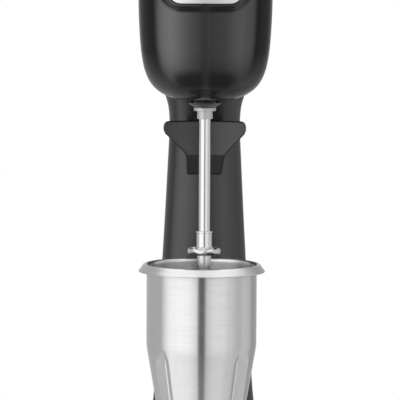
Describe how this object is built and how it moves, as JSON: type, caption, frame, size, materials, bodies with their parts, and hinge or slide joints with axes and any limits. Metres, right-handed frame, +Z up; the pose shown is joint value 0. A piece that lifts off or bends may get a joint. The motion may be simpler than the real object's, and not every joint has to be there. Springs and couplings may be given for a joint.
{
  "type": "milkshake mixer",
  "caption": "Single-spindle milkshake mixer: motor head on a column and pebble-shaped base, spindle with agitators, cup hook with sensing button, and a steel mixing cup.",
  "frame": {"origin": "on the floor under the middle of the base", "axes": "+Z up, front (spindle and cup side) towards -Y, +X to the right seen from the front"},
  "size_m": [0.1704, 0.2551, 0.49],
  "materials": {
    "black_moulding": "satin black coating",
    "hook_moulding": "fine matte",
    "plate_metal": "brushed, blank",
    "zinc_steel": "zinc plated",
    "black_steel": "black oxide",
    "dark_plastic": "matte",
    "rocker_plastic": "gloss",
    "bottom_steel": "powder coated",
    "foot_rubber": "matte",
    "cord_rubber": "smooth",
    "slinger_rubber": "smooth",
    "brass": "plain",
    "cast_aluminium": "die cast",
    "lamination_steel": "stacked sheet",
    "copper_wire": "enamelled winding",
    "copper_bar": "turned",
    "bearing_steel": "ground",
    "carbon": "sintered",
    "capacitor_plastic": "gloss",
    "lead_insulation": "smooth",
    "fan_plastic": "moulded",
    "polished_steel": "polished",
    "agitator_steel": "tumbled",
    "cup_steel": "spun and brushed"
  },
  "bodies": {
    "frame": {"stand_shell": "black_moulding", "column_rear_cover": "black_moulding", "head_shell": "black_moulding", "head_cap": "black_moulding", "name_plate": "plate_metal", "cup_hook": "hook_moulding", "cup_hook_screws": "zinc_steel", "sensor_bracket": "zinc_steel", "sensor_spring": "zinc_steel", "microswitch": "dark_plastic", "speed_switch_body": "dark_plastic", "base_plate": "bottom_steel", "rubber_feet": "foot_rubber", "base_plate_screws": "zinc_steel", "neck_screws": "zinc_steel", "rear_cover_screws": "black_steel", "strain_relief": "cord_rubber", "power_cord": "cord_rubber", "plug_body": "cord_rubber", "plug_pins": "brass", "shaft_seal": "slinger_rubber", "motor_mount_plate": "cast_aluminium", "motor_rubber_mounts": "foot_rubber", "motor_mount_screws": "zinc_steel", "field_core": "lamination_steel", "field_coils": "copper_wire", "motor_top_bracket": "cast_aluminium", "motor_tie_bolts": "zinc_steel", "lower_bearing_outer_ring": "bearing_steel", "upper_bearing_outer_ring": "bearing_steel", "brush_holders": "brass", "carbon_brushes": "carbon", "brush_springs": "zinc_steel", "suppression_capacitor": "capacitor_plastic", "wiring_leads": "lead_insulation"},
    "spindle": {"motor_shaft": "bearing_steel", "lower_bearing_inner_ring": "bearing_steel", "lower_bearing_balls": "bearing_steel", "upper_bearing_inner_ring": "bearing_steel", "upper_bearing_balls": "bearing_steel", "cooling_fan": "fan_plastic", "armature_core": "lamination_steel", "armature_windings": "copper_wire", "commutator": "copper_bar", "splash_slinger": "slinger_rubber", "spindle_collar": "polished_steel", "collar_grub_screws": "black_steel", "spindle_shaft": "polished_steel", "agitator_sleeve": "polished_steel", "upper_agitator": "agitator_steel", "agitator_spacer": "polished_steel", "lower_agitator": "agitator_steel", "agitator_nut": "polished_steel"},
    "cup_body": {"cup": "cup_steel"},
    "rocker": {"speed_rocker": "rocker_plastic"},
    "button": {"sensor_button": "hook_moulding"},
    "switch_lever": {"microswitch_lever": "zinc_steel"}
  },
  "joints": [
    {"name": "spindle_spin", "type": "hinge", "parent": "frame", "child": "spindle", "pos_m": [0, -0.034, 0.3], "axis": [0, 0, 1], "continuous": true},
    {"name": "cup_lift", "type": "slide", "parent": "frame", "child": "cup_body", "axis": [0, 0, 1], "range_m": [0, 0.1225]},
    {"name": "speed_rocker_tilt", "type": "hinge", "parent": "frame", "child": "rocker", "pos_m": [0.0534, -0.008, 0.434], "axis": [0, 1, 0], "range_deg": [-9, 9]},
    {"name": "button_press", "type": "slide", "parent": "frame", "child": "button", "axis": [0, 1, 0], "range_m": [0, 0.003], "stiffness_N_per_m": 400, "springref_m": -0.001, "deforming": ["sensor_spring"]},
    {"name": "lever_swing", "type": "hinge", "parent": "frame", "child": "switch_lever", "pos_m": [0, 0.0505, 0.275], "axis": [1, 0, 0], "range_deg": [-12, 0]}
  ],
  "couplings": [
    {"joint": "lever_swing", "follows": "button_press", "rad_per_m": -61}
  ]
}
